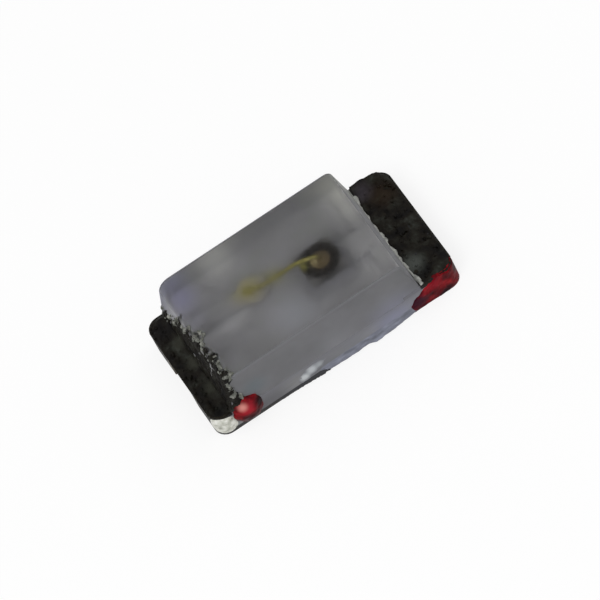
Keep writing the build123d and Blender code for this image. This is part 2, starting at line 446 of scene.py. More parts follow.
def makeLaminate(s):
    material, tree, coords = startMaterial("sawnLaminate")
    shade, bundles = mottle(tree, coords, s["pattern"], s["colors"])
    flat = layColors(tree, coords, shade, s["topSpots"])
    wall = layColors(tree, coords, shade, s["wallSpots"])
    axes = addNode(tree, "ShaderNodeSeparateXYZ", links={"Vector": coords})
    high = addNode(tree, "ShaderNodeMapRange", {
        "From Min": coreTop - s["wallTopDepth"] * mm, "From Max": coreTop,
        "To Max": s["wallTopShare"]}, {"Value": axes.outputs["Z"]})
    wall = addNode(tree, "ShaderNodeMix", {"data_type": "RGBA", 7: hexColor(s["wallTop"])},
                   {0: high.outputs["Result"], 6: wall}).outputs[2]
    color = addNode(tree, "ShaderNodeMix", {"data_type": "RGBA"},
                    {0: turnedTo(tree, "Y"), 6: flat, 7: wall}).outputs[2]
    color = addNode(tree, "ShaderNodeMix", {"data_type": "RGBA", 7: hexColor(s["ends"])},
                    {0: atRim(tree, coords, "X", boardEnd), 6: color}).outputs[2]
    shader = makeSurface(tree, s["shader"], color, bundles, s["depth"])
    addNode(tree, "ShaderNodeOutputMaterial", links={"Surface": shader})
    return material


# Plated copper foil: pale satin under the resin, tarnished nearly black and pitted where it is bare
tarnishedFoil = {
    "barePattern": {"size": 0.07, "detail": 5},
    "bareColors": [(0.30, "080706"), (0.45, "16130e"), (0.55, "221f17"), (0.64, "26282a"),
                   (0.74, "3c3837")],
    "bareFrom": (-0.005, 0.004),  # mm from the lens's foot, where the tarnish sets in
    "coveredPattern": {"size": 0.10, "shift": 5},
    "coveredColors": [(0.35, "848485"), (0.65, "8c8c8d")],
    "spots": [
        ((-0.22, 0.145, -0.045), 0.17, "988f54", 0.7),
        ((-0.66, 0.26, -0.045), 0.26, "e8e8fa", 1.2),  # painted light: paler towards the ends, where the crusts shade the foil
        ((-0.66, -0.02, -0.045), 0.22, "f0f0f0", 1.2),
        ((-0.64, -0.28, -0.045), 0.28, "f4f4f6", 1.2),
        ((0.54, 0.26, -0.045), 0.26, "b4b4b0", 1.1),
        ((0.54, -0.14, -0.045), 0.28, "a6a6a6", 1.1),
        ((0.44, 0.0, -0.045), 0.16, "a0a0a0", 0.8),
        ((0.05, 0.11, -0.045), 0.08, "88865a", 0.6)],
    # the land's sides under the resin are paler: painted light against the shade along its edges; at the
    # board's sawn side they take the wall's grey
    "paintedLightSides": "9a9a9f",
    "sawnSides": "727278",
    "relief": {"size": 0.03, "detail": 4}, "depth": 0.006,
    "shader": {"Roughness": 0.5, "Specular IOR Level": 0.08},
}


def makeFoil(s):
    material, tree, coords = startMaterial("tarnishedFoil")
    middle = (lensFoot["wire"] + lensFoot["chip"]) / 2
    half = (lensFoot["chip"] - lensFoot["wire"]) / 2
    axes = addNode(tree, "ShaderNodeSeparateXYZ", links={"Vector": coords})
    off = addNode(tree, "ShaderNodeMath", {"operation": "SUBTRACT", 1: middle}, {0: axes.outputs["X"]})
    away = addNode(tree, "ShaderNodeMath", {"operation": "ABSOLUTE"}, {0: off.outputs[0]})
    bare = addNode(tree, "ShaderNodeMapRange", {
        "From Min": half + s["bareFrom"][0] * mm, "From Max": half + s["bareFrom"][1] * mm},
        {"Value": away.outputs[0]})
    dark = mottle(tree, coords, s["barePattern"], s["bareColors"])[0]
    pale = mottle(tree, coords, s["coveredPattern"], s["coveredColors"])[0]
    stained = layColors(tree, coords, pale, s["spots"])
    # Sides under the resin get a paler colour, painted light against their shade
    sides = addNode(tree, "ShaderNodeMix", {
        "data_type": "RGBA", 6: hexColor(s["paintedLightSides"]), 7: hexColor(s["sawnSides"])},
        {0: atRim(tree, coords, "Y", boardSide)})
    covered = addNode(tree, "ShaderNodeMix", {"data_type": "RGBA"},
                      {0: turnedTo(tree, "Z"), 6: sides.outputs[2], 7: stained})
    color = addNode(tree, "ShaderNodeMix", {"data_type": "RGBA"},
                    {0: bare.outputs["Result"], 6: covered.outputs[2], 7: dark})
    relief = grain(tree, coords, **s["relief"])
    shader = makeSurface(tree, s["shader"], color.outputs[2], relief, s["depth"])
    addNode(tree, "ShaderNodeOutputMaterial", links={"Surface": shader})
    return material


# Oxide and old flux baked on the bare ends: matt, nearly black, olive and slate where it is thin
oxideCrust = {
    "pattern": {"size": 0.075, "detail": 4, "shift": 2},
    "colors": [(0.30, "040303"), (0.42, "0c0a08"), (0.52, "16130e"), (0.62, "22221d"), (0.74, "343632")],
    "spots": [
        ((0.62, 0.33, -0.04), 0.10, "4a454b", 0.6),  # violet bloom at the far end
        ((0.70, 0.25, -0.04), 0.14, "2a1f14", 0.6),
        ((0.61, -0.25, -0.04), 0.11, "545854", 0.7),
        ((-0.76, 0.30, -0.04), 0.14, "100e0e", 0.8),
        # painted shade: black in the gap between the crust and the flux cap
        ((-0.735, -0.37, -0.045), 0.075, "020202", 1.0),
        ((-0.69, 0.16, -0.04), 0.085, "3c3d35", 0.6),  # olive and slate inwards, black outwards at the board's end
        ((-0.69, 0.00, -0.04), 0.080, "3e3f37", 0.6),
        ((-0.69, -0.20, -0.04), 0.090, "36372f", 0.6),
        ((-0.80, 0.12, -0.04), 0.060, "050404", 0.8),
        ((-0.80, -0.08, -0.04), 0.060, "050404", 0.8),
        ((-0.80, -0.26, -0.04), 0.060, "050404", 0.8)],
    "relief": {"size": 0.02, "detail": 4}, "depth": 0.006,
    "shader": {"Roughness": 0.55, "Specular IOR Level": 0.08},
}

# Gold flash over nickel in the half holes: dull bronze, darker in its streaks
tarnishedPlating = {
    "pattern": {"size": 0.03, "detail": 4, "stretch": (1, 1, 0.3)},
    "colors": [(0.30, "241f16"), (0.50, "4c4330"), (0.72, "7a6d4c")],
    "depth": 0.003,
    "shader": {"Roughness": 0.42, "Metallic": 0.7},
}

# Tinned land that has been soldered once: uneven grey metal with dull yellow showing through
solderedLand = {
    "pattern": {"size": 0.12, "detail": 3},
    "colors": [(0.30, "57544a"), (0.48, "74726a"), (0.60, "8f8e88"), (0.74, "80724c")],
    "sawnEdges": "161513",
    "scratches": {"size": 0.02, "detail": 2, "stretch": (0.1, 1, 1), "shift": 3},
    "roughness": (0.28, 0.5),
    "depth": 0.004,
}


def makeSolderedLand(s):
    material, tree, coords = startMaterial("solderedLand")
    shade, flow = mottle(tree, coords, s["pattern"], s["colors"])
    level = turnedTo(tree, "Z")
    color = addNode(tree, "ShaderNodeMix", {"data_type": "RGBA", 6: hexColor(s["sawnEdges"])},
                    {0: level, 7: shade})
    scratched = addNode(tree, "ShaderNodeMapRange", {
        "To Min": s["roughness"][0], "To Max": s["roughness"][1]},
        {"Value": grain(tree, coords, **s["scratches"])})
    shader = makeSurface(tree, {"Specular IOR Level": 0.3}, color.outputs[2], flow, s["depth"],
                         {"Metallic": level, "Roughness": scratched.outputs["Result"]})
    addNode(tree, "ShaderNodeOutputMaterial", links={"Surface": shader})
    return material


# Solder resist: smooth, dark, slightly blue, with a soft orange-peel gloss
curedResist = {
    "pattern": {"size": 0.09},
    "colors": [(0.35, "121317"), (0.65, "1c1e24")],
    "relief": {"size": 0.05, "detail": 1}, "depth": 0.002,
    "shader": {"Roughness": 0.3, "IOR": 1.5},
}

# Screen-printed green ink: flat film with pinholes and a soft gloss
screenedInk = {
    "pattern": {"size": 0.025, "detail": 5},
    "colors": [(0.28, "123a20"), (0.40, "1c5a30"), (0.70, "256a3c")],
    "relief": {"size": 0.012}, "depth": 0.001,
    "shader": {"Roughness": 0.38, "IOR": 1.5},
}

# Silver-filled epoxy under the chip: matt grey paste with bright flakes
silverEpoxy = {
    "pattern": {"size": 0.012, "detail": 4},  # flakes are half that, too fine to show
    "colors": [(0.30, "7a7a7d"), (0.55, "86868a"), (0.75, "929296")],
    "relief": {"size": 0.02}, "depth": 0.003,
    "shader": {"Roughness": 0.6, "Specular IOR Level": 0.1},
}

# Semiconductor crystal: near black and brownish in the middle of its top, greyer away from it towards its
# corners and foot, saw-marked
chipMiddle = (chipLow + chipHigh) / 2 / mm


def crystal(darkRing, middle, roughness, sawMarks):
    centre = (chipMiddle.x, chipMiddle.y, chipHigh.z / mm)
    return {
        "pattern": {"size": 0.06},
        "colors": [(0.35, "727170"), (0.65, "7e7d7c")],
        "spots": [(centre, 0.185, darkRing, 2.7), (centre, 0.09, middle, 0.8),
                  ((0.078, 0.015, 0.10), 0.065, "86833a", 0.95)],  # the wire mirrored at the edge
        "relief": {"size": 0.006, "detail": 2, "stretch": (0.1, 0.1, 1)},  # level saw marks
        "depth": sawMarks,
        "shader": {"Roughness": roughness, "Specular IOR Level": 0.05},
    }


# Gold, evaporated or drawn: warm olive yellow in the grey resin, finely uneven
overChip = 0.03  # mm above the chip


def softGold(codes, roughness, size):
    centre = (chipMiddle.x, chipMiddle.y, chipHigh.z / mm + overChip)
    return {
        "pattern": {"size": size},
        "colors": [(0.35, codes[0]), (0.65, codes[1])],
        "spots": [(centre, 0.10, "5a4c2e", 1.3),  # painted shade: browner and darker over the chip
                  ((0.142, -0.002, 0.118), 0.060, "c8b880", 0.9)],  # light on the ball's edge
        "relief": {"size": size / 3}, "depth": 0.001,
        "shader": {"Roughness": roughness, "Specular IOR Level": 0.15},
    }


# Cured red placement adhesive: glossy, deep red, with a painted highlight and painted shade on the dome,
# nearly black round the smear's corner and foot
redAdhesive = {
    "pattern": {"size": 0.06, "detail": 3},
    "colors": [(0.32, "38050a"), (0.46, "580810"), (0.56, "7c1018"), (0.70, "9a1c24")],
    "spots": [
        ((-0.59, -0.43, -0.06), 0.08, "b02c38", 0.8),
        ((-0.620, -0.435, -0.032), 0.050, "e2968c", 0.9),  # painted highlight near the top of the dome
        # painted shade: nearly black on the dome's right side and low down
        ((-0.505, -0.42, -0.09), 0.10, "140206", 1.0),
        ((-0.60, -0.42, -0.165), 0.11, "200206", 0.95),
        ((0.64, -0.405, -0.09), 0.08, "8c1020", 0.8),
        ((0.80, -0.35, -0.10), 0.11, "14060a", 0.95),  # dark rim round the corner and along the foot
        ((0.68, -0.405, -0.225), 0.10, "14020a", 0.95),
        ((0.52, -0.405, -0.16), 0.10, "30041c", 0.9)],
    "relief": {"size": 0.03, "detail": 1}, "depth": 0.0015,
    "shader": {"Roughness": 0.42, "IOR": 1.5, "Specular IOR Level": 0.05},
}

# Dried flux: chalky white, greenish grey in its hollows, a few wet-looking bright spots
whiteFlux = {
    "pattern": {"size": 0.045, "detail": 3},
    "colors": [(0.30, "8a8e82"), (0.45, "c2c3b7"), (0.60, "e6e6dd"), (0.75, "fafaf5")],
    "relief": {"size": 0.03}, "depth": 0.006,
    "shader": {"Roughness": 0.4, "IOR": 1.5},
}

# Glass fibres torn loose by the saw: the wall's grey, streaked along the bundle, with pale tufts
bareFibre = {
    "pattern": {"size": 0.012, "detail": 3, "stretch": (0.2, 1, 1)},
    "colors": [(0.30, "6c6d72"), (0.50, "78797f"), (0.70, "84868c")],
    "spots": [
        ((-0.232, -0.405, -0.158), 0.050, "c4c8ca", 1.1),  # the torn tufts catch the light
        ((-0.178, -0.405, -0.132), 0.055, "bcc0c4", 1.1),
        ((-0.128, -0.405, -0.128), 0.040, "a8acb0", 0.9)],
    "depth": 0.003,
    "shader": {"Roughness": 0.4, "IOR": 1.52, "Specular IOR Level": 0.2},
}

# Resist and metal dragged by the saw along the lower edge: bluish grey, dull
smearedBurr = {
    "pattern": {"size": 0.02, "detail": 3, "stretch": (0.25, 1, 1)},
    "colors": [(0.30, "5e616c"), (0.52, "767986"), (0.72, "8c90a0")],
    "depth": 0.003,
    "shader": {"Roughness": 0.5, "IOR": 1.5},
}


# Lens block: the moulded resin's outer skin, with the chip and wire standing in it
lensBlock = {
    "wireEndDraft": 12,
    "chipEndDraft": 11,
    "wireEndRounding": 0.08,  # mm
    "chipEndRounding": 0.04,
    "sink": 0.004,  # mm into the board below it
    "bottomInset": 0.0005,  # share by which it is narrower there, so that no faces coincide
    "arcSteps": 8,
    "sliceLength": 0.02,
    "sideRounding": 0.015,  # of the long top edges
    "tuck": 0.105,  # from each foot to where it reaches down; it overlaps the lands' ends by 0.015
    "frostedSides": 0.05,  # faces that look sideways, or out at an end, by more than this are frosted
    "frostedEnds": 0.9,
    "sharpAngle": 25,
}
landThickness = landHigh.z - landLow.z
wireSlope = math.tan(math.radians(lensBlock["wireEndDraft"]))
chipSlope = math.tan(math.radians(lensBlock["chipEndDraft"]))
lensFoot = {
    "wire": lensLow.x + landThickness * wireSlope,
    "chip": lensHigh.x - landThickness * chipSlope,
}


def roundCorner(before, corner, after, radius, steps):
    # Points of an arc tangent to the two sides that meet at a corner
    toBefore = (before - corner).normalized()
    toAfter = (after - corner).normalized()
    halfAngle = toBefore.angle(toAfter) / 2
    reach = radius / math.tan(halfAngle)
    centre = corner + (toBefore + toAfter).normalized() * radius / math.sin(halfAngle)
    start = corner + toBefore * reach - centre
    end = corner + toAfter * reach - centre
    sweep = start.angle(end)
    points = []
    for i in range(steps + 1):
        t = i / steps
        spoke = start * math.sin((1 - t) * sweep) / math.sin(sweep) + \
            end * math.sin(t * sweep) / math.sin(sweep)
        points.append(centre + spoke)
    return points


rise = lensHigh.z - landTop
wireTop = Vector((lensFoot["wire"] + rise * wireSlope, lensHigh.z))
chipTop = Vector((lensFoot["chip"] - rise * chipSlope, lensHigh.z))
wireArc = roundCorner(Vector((lensFoot["wire"], landTop)), wireTop, chipTop,
                      lensBlock["wireEndRounding"] * mm, lensBlock["arcSteps"])
chipArc = roundCorner(wireTop, chipTop, Vector((lensFoot["chip"], landTop)),
                      lensBlock["chipEndRounding"] * mm, lensBlock["arcSteps"])


def makeLensBlock(s, material, roughMaterial):
    sink = s["sink"] * mm
    wireFoot = Vector((lensFoot["wire"], landTop - sink))
    chipFoot = Vector((lensFoot["chip"], landTop - sink))
    outline = [wireFoot] + wireArc + chipArc + [chipFoot]
    inner = [lensFoot["wire"] + s["tuck"] * mm, lensFoot["chip"] - s["tuck"] * mm]
    outline += [Vector((x, z - sink)) for x, z in (
        (inner[1], landTop), (inner[1], coreTop), (inner[0], coreTop), (inner[0], landTop))]
    # Slices across the package: even ones, and close ones that round the long top edges
    radius = s["sideRounding"] * mm
    straight = boardSide - radius
    slices = max(2, round(2 * straight / (s["sliceLength"] * mm)))
    stations = [(-straight + 2 * straight * i / slices, 0.0) for i in range(slices + 1)]
    for i in range(1, s["arcSteps"] + 1):
        turn = math.pi / 2 * i / s["arcSteps"]
        station = (straight + radius * math.sin(turn), radius * (1 - math.cos(turn)))
        stations = [(-station[0], station[1])] + stations + [station]
    middle = (lensFoot["wire"] + lensFoot["chip"]) / 2
    made = bmesh.new()
    rings = []
    for y, inset in stations:
        ring = []
        for p in outline:
            if p.y < landTop:
                ring.append(made.verts.new((p.x, y * (1 - s["bottomInset"]), p.y)))
            else:
                narrow = 1 - inset / (chipTop.x - middle)
                ring.append(made.verts.new((middle + (p.x - middle) * narrow, y,
                                            landTop + (p.y - landTop) * (1 - inset / rise))))
        rings.append(ring)
    count = len(outline)
    for first, second in zip(rings, rings[1:]):
        for j in range(count):
            made.faces.new((first[j], first[(j + 1) % count], second[(j + 1) % count], second[j]))
    made.faces.new(rings[0])
    made.faces.new(list(reversed(rings[-1])))
    bmesh.ops.recalc_face_normals(made, faces=made.faces)
    bmesh.ops.triangulate(made, faces=[f for f in made.faces if len(f.verts) > 4])
    mesh = bpy.data.meshes.new("lensBlock")
    made.to_mesh(mesh)
    made.free()
    mesh.set_sharp_from_angle(angle=math.radians(s["sharpAngle"]))
    piece = addPiece("lensBlock", mesh, material)
    mesh.materials.append(roughMaterial)
    for face in mesh.polygons:
        if abs(face.normal.y) > s["frostedSides"] or abs(face.normal.x) > s["frostedEnds"]:
            face.material_index = 1
    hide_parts("lens")


makeLensBlock(lensBlock, makeResin("milkyEpoxy", milkyEpoxy), makeResin("frostedEpoxy", frostedEpoxy))
print("lens block made")

landMaterial = makeFoil(tarnishedFoil)
wear("anode_top_land", landMaterial)
wear("cathode_top_land", landMaterial)
wear("laminate_core", makeLaminate(sawnLaminate))
platingMaterial = makeFinish("tarnishedPlating", tarnishedPlating)
solderMaterial = makeSolderedLand(solderedLand)
for end in ("anode", "cathode"):
    wear(end + "_end_plating", platingMaterial)
    wear(end + "_bottom_land", solderMaterial)
resistMaterial = makeFinish("curedResist", curedResist)
wear("solder_resist", resistMaterial)
for nodeName, finishName, finish in (
        ("die_attach_adhesive", "silverEpoxy", silverEpoxy),
        ("chip_back_electrode", "backGold", softGold(("5a4e2c", "6e6238"), 0.4, 0.04)),
        ("chip_body", "sawnCrystal", crystal("0a0502", "140b05", 0.5, 0.001)),
        ("chip_light_layer", "polishedCrystal", crystal("0c0602", "180d05", 0.3, 0.0002)),
        ("chip_top_electrode", "evaporatedGold", softGold(("5e5030", "6c5c38"), 0.45, 0.03)),
        ("bond_wire", "drawnGold", softGold(("78722a", "98904a"), 0.4, 0.02)),
        ("polarity_mark", "screenedInk", screenedInk)):
    wear(nodeName, makeFinish(finishName, finish))
print("CAD pieces dressed")


# Relief patches: thin lumpy layers that lie on the board or the lens. Each is closed, and its
# edges dip into what carries it. Places along and across are in millimetres, and unevenness is
# given as its amount, the size of its lumps in millimetres and its seed.

def uneven(u, v, spec):
    amount, size, seed = spec
    return amount * noise.fractal(Vector((u / size, v / size, seed)), 1.0, 2.0, 3)  # three octaves


def between(value, stops):
    # Straight-line reading of a short profile
    for (x0, y0), (x1, y1) in zip(stops, stops[1:]):
        if value <= x1:
            return y0 + (y1 - y0) * max(0.0, value - x0) / (x1 - x0)
    return stops[-1][1]


def boardWall(end):
    # Along the near side, u from the board's middle out to the given end and round its corner
    straight = boardEnd - boardCorner

    def place(u, v):
        u, z = u * mm, v * mm
        if abs(u) <= straight:
            return Vector((u, -boardSide, z)), Vector((0, -1, 0))
        turn = min((abs(u) - straight) / boardCorner, math.pi / 2)
        normal = Vector((end * math.sin(turn), -math.cos(turn), 0))
        centre = Vector((end * straight, -boardSide + boardCorner, z))
        return centre + normal * boardCorner, normal
    return place


def landPlane(u, v):
    return Vector((u * mm, v * mm, landTop)), Vector((0, 0, 1))


def wireEnd(u, v):
    # Up the lens's wire end, round its top edge and on over the top: u across the package, v upward
    points = [Vector((lensFoot["wire"], landTop))] + wireArc + [chipTop]
    left = v * mm
    for start, end in zip(points, points[1:]):
        step = end - start
        if left <= step.length:
            break
        left -= step.length
    step = step.normalized()
    spot = start + step * left
    return Vector((spot.x, u * mm, spot.y)), Vector((-step.y, 0, step.x))


def fromBoardEdge(x, y):
    # How far a point lies inside the board's rounded outline, in millimetres
    dx = abs(x) - (boardEnd - boardCorner) / mm
    dy = abs(y) - (boardSide - boardCorner) / mm
    radius = boardCorner / mm
    return radius - math.hypot(max(dx, 0), max(dy, 0)) - min(max(dx, dy), 0)


def fromWireEnd(u, v):
    # How far a point of the near side lies inside the lens's wire end, in millimetres
    return u - lensFoot["wire"] / mm - (v - landTop / mm) * wireSlope


def makePatch(name, s, place, heightAt, material):
    columns = round((s["to"][0] - s["from"][0]) / s["step"])
    rows = round((s["to"][1] - s["from"][1]) / s["step"])
    heights, upper, lower = {}, {}, {}
    made = bmesh.new()
    for i in range(columns + 1):
        for j in range(rows + 1):
            u = s["from"][0] + i * s["step"]
            v = s["from"][1] + j * s["step"]
            heights[i, j] = max(heightAt(u, v, s), -s["sink"])
    rings = {(i, j): [(i, j), (i + 1, j), (i + 1, j + 1), (i, j + 1)]
             for i in range(columns) for j in range(rows)}
    inside = [cell for cell, ring in rings.items() if max(heights[c] for c in ring) > -s["sink"]]
    kept = set(inside)
    for cell in inside:
        for corner in rings[cell]:
            if corner not in upper:
                u = s["from"][0] + corner[0] * s["step"]
                v = s["from"][1] + corner[1] * s["step"]
                point, normal = place(u, v)
                upper[corner] = made.verts.new(point + normal * heights[corner] * mm)
                lower[corner] = made.verts.new(point - normal * 2 * s["sink"] * mm)
    for i, j in inside:
        ring = rings[i, j]
        made.faces.new([upper[c] for c in ring])
        made.faces.new([lower[c] for c in reversed(ring)])
        besides = ((i, j - 1), (i + 1, j), (i, j + 1), (i - 1, j))
        for a, beside in enumerate(besides):
            if beside not in kept:
                b = (a + 1) % 4
                made.faces.new((upper[ring[b]], upper[ring[a]], lower[ring[a]], lower[ring[b]]))
    bmesh.ops.recalc_face_normals(made, faces=made.faces)
    mesh = bpy.data.meshes.new(name)
    made.to_mesh(mesh)
    made.free()
    addPiece(name, mesh, material)


crustMaterial = makeFinish("oxideCrust", oxideCrust)
brokenFlashMaterial = makeFinish("brokenFlash", {**flashFinish, "colors": brokenFlashColors})
lensTaper = {"from": 0.402, "slope": 0.6}  # relief on the wire end ends this far from the middle, mm


def besideLens(u):
    return lensTaper["slope"] * (lensTaper["from"] - abs(u))


def flakes(u, v, s, away):
    # Flakes that thin out away from the middle of their band
    return s["height"] * (uneven(u, v, s["flakes"]) - s["thinning"] - (away / s["band"]) ** 2)


# Crust on the bare strip of the anode land, heaped against the foot of the lens
anodeCrust = {"from": (-0.80, -0.40), "to": (-0.66, 0.40), "step": 0.006, "sink": 0.004,
              "height": 0.006, "lumps": (0.010, 0.05, 3), "heap": 0.020, "heapWidth": 0.05,
              "edgeGap": 0.009, "edgeSlope": 0.8}


def anodeCrustHeight(u, v, s):
    height = s["height"] + uneven(u, v, s["lumps"])
    height += s["heap"] * max(0, 1 - abs(u - lensFoot["wire"] / mm) / s["heapWidth"])
    return min(height, s["edgeSlope"] * (fromBoardEdge(u, v) - s["edgeGap"]))


makePatch("anodeCrust", anodeCrust, landPlane, anodeCrustHeight, crustMaterial)

# Crust that climbs the lens's wire end: over the top edge at the near side, low at the far side
climbingCrust = {"from": (-0.40, -0.01), "to": (0.40, 0.34), "step": 0.005, "sink": 0.004,
                 "height": 0.005, "lumps": (0.012, 0.045, 7), "raggedness": (0.07, 0.045, 11),
                 "edgeSlope": 0.4, "edge": [(-0.40, 0.275), (-0.32, 0.265), (-0.045, 0.26),
                                            (0.156, 0.18), (0.365, 0.05), (0.40, 0.03)]}


def climbHeight(u, v, s):
    height = s["height"] + uneven(u, v, s["lumps"])
    limit = between(u, s["edge"]) + uneven(u, v, s["raggedness"])
    return min(height, s["edgeSlope"] * (limit - v), besideLens(u))


makePatch("climbingCrust", climbingCrust, wireEnd, climbHeight, crustMaterial)

# Resin flash along that crust's edge, broken into flakes
brokenFlash = {"from": (-0.40, 0.0), "to": (0.40, 0.36), "step": 0.004, "sink": 0.003,
               "height": 0.020, "flakes": (1.7, 0.040, 61), "thinning": 0.12, "band": 0.055}


def brokenFlashHeight(u, v, s):
    return min(flakes(u, v, s, v - between(u, climbingCrust["edge"])), besideLens(u))


makePatch("brokenFlash", brokenFlash, wireEnd, brokenFlashHeight, brokenFlashMaterial)

# The crust round the lens's near corner, on the sawn side, and the flash on it
cornerCrust = {"from": (-0.70, -0.05), "to": (-0.55, 0.20), "step": 0.004, "sink": 0.003,
               "height": 0.005, "lumps": (0.012, 0.04, 71), "raggedness": (0.02, 0.03, 73),
               "edgeSlope": 0.5, "taper": 0.6, "lip": 0.004,
               "edge": [(-0.05, -0.57), (0.015, -0.575), (0.065, -0.60), (0.128, -0.61), (0.20, -0.64)]}
cornerFlash = {"from": (-0.70, -0.03), "to": (-0.54, 0.20), "step": 0.004, "sink": 0.003,
               "height": 0.018, "flakes": (1.7, 0.034, 79), "thinning": -0.05, "band": 0.05,
               "shift": 0.015, "taper": 0.6, "lip": 0.002}


def cornerCrustHeight(u, v, s):
    height = s["height"] + uneven(u, v, s["lumps"])
    limit = between(v, s["edge"]) + uneven(u, v, s["raggedness"])
    return min(height, s["edgeSlope"] * (limit - u),
               s["taper"] * (fromWireEnd(u, v) + s["lip"]), s["taper"] * (s["to"][1] - v))


def cornerFlashHeight(u, v, s):
    return min(flakes(u, v, s, u - between(v, cornerCrust["edge"]) + s["shift"]),
               s["taper"] * (fromWireEnd(u, v) + s["lip"]), s["taper"] * (s["to"][1] - v))


makePatch("cornerCrust", cornerCrust, boardWall(-1), cornerCrustHeight, crustMaterial)
makePatch("cornerFlash", cornerFlash, boardWall(-1), cornerFlashHeight, brokenFlashMaterial)

# Crust on the bare strip of the cathode land, with a lump along its far edge that ends steeply
cathodeCrust = {"from": (0.560, -0.40), "to": (0.80, 0.40), "step": 0.006, "sink": 0.004,
                "height": 0.005, "lumps": (0.010, 0.055, 17), "edgeGap": 0.008, "edgeSlope": 1.2,
                "lump": [(0.56, 0.050), (0.60, 0.052), (0.70, 0.045), (0.75, 0.025), (0.80, 0.0)],
                "lumpMiddle": 0.385, "lumpWidth": 0.06, "steepFrom": 0.3, "steepTo": 0.76, "steepSlope": 6,
                "lip": 0.002}


def cathodeCrustHeight(u, v, s):
    height = s["height"] + uneven(u, v, s["lumps"])
    height += between(u, s["lump"]) * max(0, 1 - ((s["lumpMiddle"] - v) / s["lumpWidth"]) ** 2)
    slope = s["steepSlope"] if v > s["steepFrom"] and u < s["steepTo"] else s["edgeSlope"]
    return min(height, slope * (fromBoardEdge(u, v) - s["edgeGap"]),
               s["steepSlope"] * (u - lensFoot["chip"] / mm + s["lip"]))


makePatch("cathodeCrust", cathodeCrust, landPlane, cathodeCrustHeight, crustMaterial)
print("crusts made")

# Red adhesive, a dome low on the near side at the left and a smear round the near right corner
redMaterial = makeFinish("redAdhesive", redAdhesive)
redDome = {"from": (-0.70, -0.224), "to": (-0.48, 0.03), "step": 0.005, "sink": 0.004,
           "centre": (-0.588, -0.105), "reach": (0.092, 0.112), "tilt": 0, "stretch": 1, "square": 2,
           "outline": (0.10, 0.07, 23), "height": 0.045, "shoulder": 2.4, "lumps": (0.06, 0.05, 29)}
redSmear = {"from": (0.44, -0.224), "to": (0.82, -0.03), "step": 0.005, "sink": 0.004,
            "height": 0.005, "lumps": (0.5, 0.06, 37), "raggedness": (0.018, 0.05, 31),
            "top": [(0.44, -0.20), (0.50, -0.135), (0.588, -0.075), (0.654, -0.05), (0.80, -0.052)],
            "start": 0.47, "edgeSlope": 0.8, "endSlope": 0.5}


def moundHeight(u, v, s):
    # A patch round its centre: square 2 gives an ellipse, more squares it off
    du = abs(u - s["centre"][0]) / s["reach"][0]
    dv = abs(v - s["centre"][1] - s["tilt"] * (u - s["centre"][0])) / s["reach"][1]
    out = (du ** s["square"] + dv ** s["square"]) ** (1 / s["square"])
    out += uneven(u * s["stretch"], v, s["outline"])
    return s["height"] * (1 - out ** s["shoulder"]) * (1 + uneven(u, v, s["lumps"]))


def redSmearHeight(u, v, s):
    limit = between(u, s["top"]) + uneven(u, v, s["raggedness"])
    height = s["height"] * (1 + uneven(u, v, s["lumps"]))
    return min(height, s["edgeSlope"] * (limit - v), s["edgeSlope"] * (u - s["start"]),
               s["endSlope"] * (s["to"][0] - u))


makePatch("redDome", redDome, boardWall(-1), moundHeight, redMaterial)
makePatch("redSmear", redSmear, boardWall(1), redSmearHeight, redMaterial)

# Dried flux round the near left corner
fluxCap = {"from": (-0.86, -0.222), "to": (-0.66, -0.03), "step": 0.005, "sink": 0.004,
           "centre": (-0.755, -0.136), "reach": (0.080, 0.074), "tilt": 0, "stretch": 1, "square": 3,
           "outline": (0.10, 0.05, 41), "height": 0.010, "shoulder": 4, "lumps": (0.5, 0.035, 43)}
fluxMaterial = makeFinish("whiteFlux", whiteFlux)
makePatch("fluxCap", fluxCap, boardWall(-1), moundHeight, fluxMaterial)

# Fibres that the saw tore loose
fibreChip = {"from": (-0.29, -0.214), "to": (-0.07, -0.07), "step": 0.004, "sink": 0.001,
             "centre": (-0.182, -0.146), "reach": (0.090, 0.042), "tilt": 0.30, "stretch": 0.6, "square": 2,
             "outline": (0.3, 0.02, 47), "height": 0.006, "shoulder": 2, "lumps": (0, 0.02, 47)}
fibreMaterial = makeFinish("bareFibre", bareFibre)
makePatch("fibreChip", fibreChip, boardWall(-1), moundHeight, fibreMaterial)

# The burr that the saw left along the lower edge, and a black lip of resist under the fibres, which stands
# in for the shadow below their overhang: painted shadow
sawBurr = {"from": (-0.16, -0.216), "to": (0.56, -0.165), "step": 0.004, "sink": 0.003,
           "height": 0.030, "foot": -0.216, "fade": 0.045, "lumps": (0.3, 0.03, 53), "stretch": 0.5,
           "share": [(-0.15, 0.0), (-0.08, 0.5), (0.10, 0.62), (0.17, 0.55), (0.21, 1.0), (0.34, 0.9),
                     (0.46, 0.35), (0.54, 0.0)], "dip": 0.001}
paintedShadowLip = {"from": (-0.43, -0.218), "to": (0.06, -0.18), "step": 0.004, "sink": 0.003,
              "height": 0.014, "foot": -0.216, "fade": 0.022, "lumps": (0.4, 0.02, 59), "stretch": 1,
              "share": [(-0.42, 0.0), (-0.39, 0.5), (-0.31, 0.5), (-0.24, 0.8), (-0.12, 1.2),
                        (-0.02, 0.5), (0.05, 0.0)], "dip": 0.001}


def lipHeight(u, v, s):
    # Highest at its foot; its share says how much of the height is left along the edge
    low = 1 - max(0, (v - s["foot"]) / s["fade"])
    lumps = 1 + uneven(u * s["stretch"], v, s["lumps"])
    return s["height"] * between(u, s["share"]) * low * lumps - s["dip"]


burrMaterial = makeFinish("smearedBurr", smearedBurr)
makePatch("sawBurr", sawBurr, boardWall(1), lipHeight, burrMaterial)
makePatch("paintedShadowLip", paintedShadowLip, boardWall(1), lipHeight, resistMaterial)
print("patches made")


